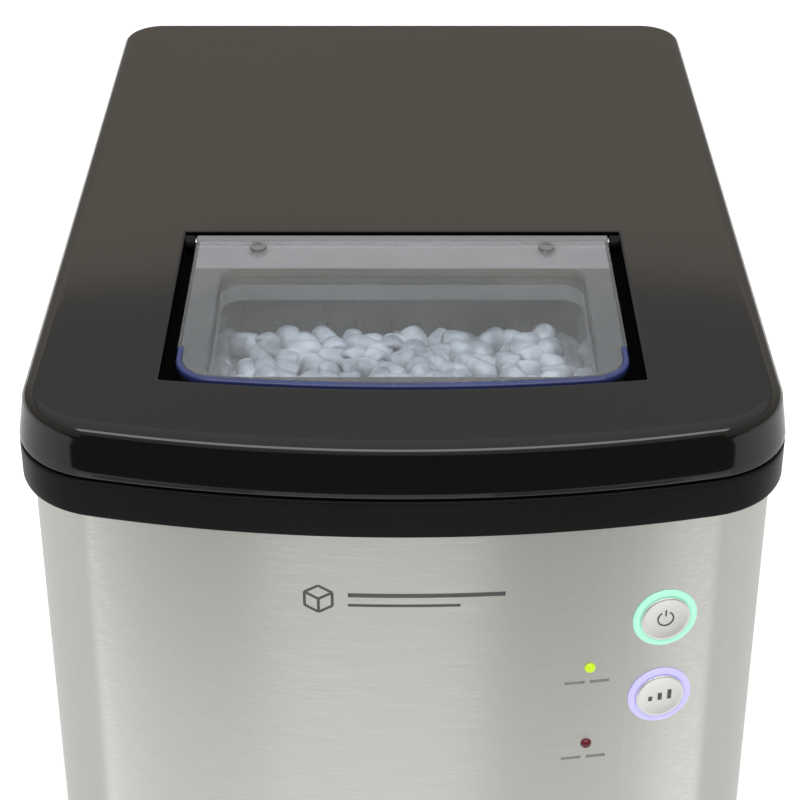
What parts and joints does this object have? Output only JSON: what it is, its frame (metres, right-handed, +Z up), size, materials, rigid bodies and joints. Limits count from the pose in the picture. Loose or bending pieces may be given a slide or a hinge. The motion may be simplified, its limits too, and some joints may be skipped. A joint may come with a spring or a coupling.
{
  "type": "ice maker",
  "caption": "Tall countertop ice maker in brushed steel with a black hinged lid, clear lift-up window, round lit push buttons and a lift-out ice basket.",
  "frame": {"origin": "on the floor, under the middle of the cabinet's bounding box", "axes": "+Z up, -Y out of the bowed front with the buttons, +X to the right as seen from the front"},
  "size_m": [0.242, 0.354, 0.328],
  "materials": {
    "steel_wrap": "brushed, vertical grain",
    "steel_parts": "satin",
    "lid_black": "high gloss black",
    "trim_black": "satin black",
    "dark_plastic": "matte dark grey",
    "liner_grey": "satin light grey",
    "white_plastic": "satin white",
    "clear_window": "clear, faint blue",
    "lip_blue": "translucent blue edge",
    "basket_plastic": "satin light grey",
    "tray_plastic": "satin dark grey",
    "button_face": "fine satin",
    "ring_light_mint": "lit diffuser",
    "ring_light_lavender": "lit diffuser",
    "lamp_lens": "lit lens",
    "rubber_black": "moulded",
    "rubber_grey": "soft moulded",
    "hose_clear": "silicone",
    "insulation_foam": "closed-cell foam",
    "copper": "drawn copper tube",
    "nickel_plate": "plated",
    "brass_valve": "satin brass",
    "fin_aluminium": "thin fin stock",
    "cast_motor": "cast",
    "compressor_black": "semi-gloss black paint",
    "circuit_green": "solder-mask green"
  },
  "bodies": {
    "cabinet": {"base_pan": "trim_black", "foot_front_left": "rubber_black", "foot_front_right": "rubber_black", "foot_rear_left": "rubber_black", "foot_rear_right": "rubber_black", "wrap_panel": "steel_wrap", "back_panel": "dark_plastic", "side_grille_left": "trim_black", "side_grille_right": "trim_black", "top_frame": "trim_black", "lid_seal": "rubber_grey", "lid_hinge_pins": "steel_parts", "inner_tank": "white_plastic", "tank_insulation": "insulation_foam", "evaporator_head": "copper", "freezing_fingers": "nickel_plate", "evaporator_bracket": "steel_parts", "tray_bushes": "white_plastic", "tray_motor": "cast_motor", "compressor": "compressor_black", "compressor_grommets": "rubber_black", "condenser": "fin_aluminium", "fan_shroud": "dark_plastic", "fan_motor": "cast_motor", "filter_drier": "copper", "hot_gas_valve": "brass_valve", "suction_line": "copper", "discharge_line": "copper", "water_pump": "dark_plastic", "fill_hose": "hose_clear", "drain_hose": "hose_clear", "drain_port": "dark_plastic", "control_board": "circuit_green", "power_board": "circuit_green", "power_light_ring": "ring_light_mint", "select_light_ring": "ring_light_lavender", "button_housings": "dark_plastic", "indicator_lamps": "lamp_lens", "level_sensor_stem": "white_plastic", "ice_sensors": "dark_plastic", "cord_gland": "rubber_black", "case_screws": "steel_parts", "frame_screws": "steel_parts"},
    "lid": {"lid_shell": "lid_black", "lid_liner": "liner_grey", "lid_screws": "steel_parts", "window_hinge_pins": "steel_parts"},
    "window": {"window_pane": "clear_window", "window_frame": "liner_grey", "window_lip": "lip_blue", "window_screws": "dark_plastic"},
    "basket": {"ice_basket": "basket_plastic"},
    "tray": {"water_tray": "tray_plastic", "tray_shaft": "steel_parts"},
    "shovel": {"ice_shovel": "tray_plastic"},
    "fan": {"fan_blades": "dark_plastic"},
    "power_key": {"power_button": "button_face"},
    "select_key": {"select_button": "button_face"},
    "drain_plug": {"drain_cap": "trim_black"},
    "float": {"level_float": "white_plastic"}
  },
  "joints": [
    {"name": "lid_hinge", "type": "hinge", "parent": "cabinet", "child": "lid", "pos_m": [0, 0.1735, 0.3113], "axis": [-1, 0, 0], "range_deg": [0, 95]},
    {"name": "window_hinge", "type": "hinge", "parent": "lid", "child": "window", "pos_m": [0, -0.033, 0.3252], "axis": [-1, 0, 0], "range_deg": [0, 90]},
    {"name": "basket_lift", "type": "slide", "parent": "cabinet", "child": "basket", "axis": [0, 0, 1], "range_m": [0, 0.012]},
    {"name": "tray_tilt", "type": "hinge", "parent": "cabinet", "child": "tray", "pos_m": [0, 0.052, 0.262], "axis": [1, 0, 0], "range_deg": [0, 40]},
    {"name": "shovel_swing", "type": "hinge", "parent": "cabinet", "child": "shovel", "pos_m": [0, -0.014, 0.296], "axis": [1, 0, 0], "range_deg": [-50, 0]},
    {"name": "fan_spin", "type": "hinge", "parent": "cabinet", "child": "fan", "pos_m": [0.066, 0.105, 0.076], "axis": [1, 0, 0], "continuous": true},
    {"name": "power_press", "type": "slide", "parent": "cabinet", "child": "power_key", "axis": [-0.2098, 0.9777, 0], "range_m": [0, 0.0012], "stiffness_N_per_m": 800},
    {"name": "select_press", "type": "slide", "parent": "cabinet", "child": "select_key", "axis": [-0.2098, 0.9777, 0], "range_m": [0, 0.0012], "stiffness_N_per_m": 800},
    {"name": "drain_cap_pull", "type": "slide", "parent": "cabinet", "child": "drain_plug", "axis": [1, 0, 0], "range_m": [0, 0.016]},
    {"name": "float_rise", "type": "slide", "parent": "cabinet", "child": "float", "axis": [0, 0, 1], "range_m": [0, 0.017]}
  ],
  "couplings": [
    {"joint": "shovel_swing", "follows": "tray_tilt", "ratio": -1.2}
  ]
}
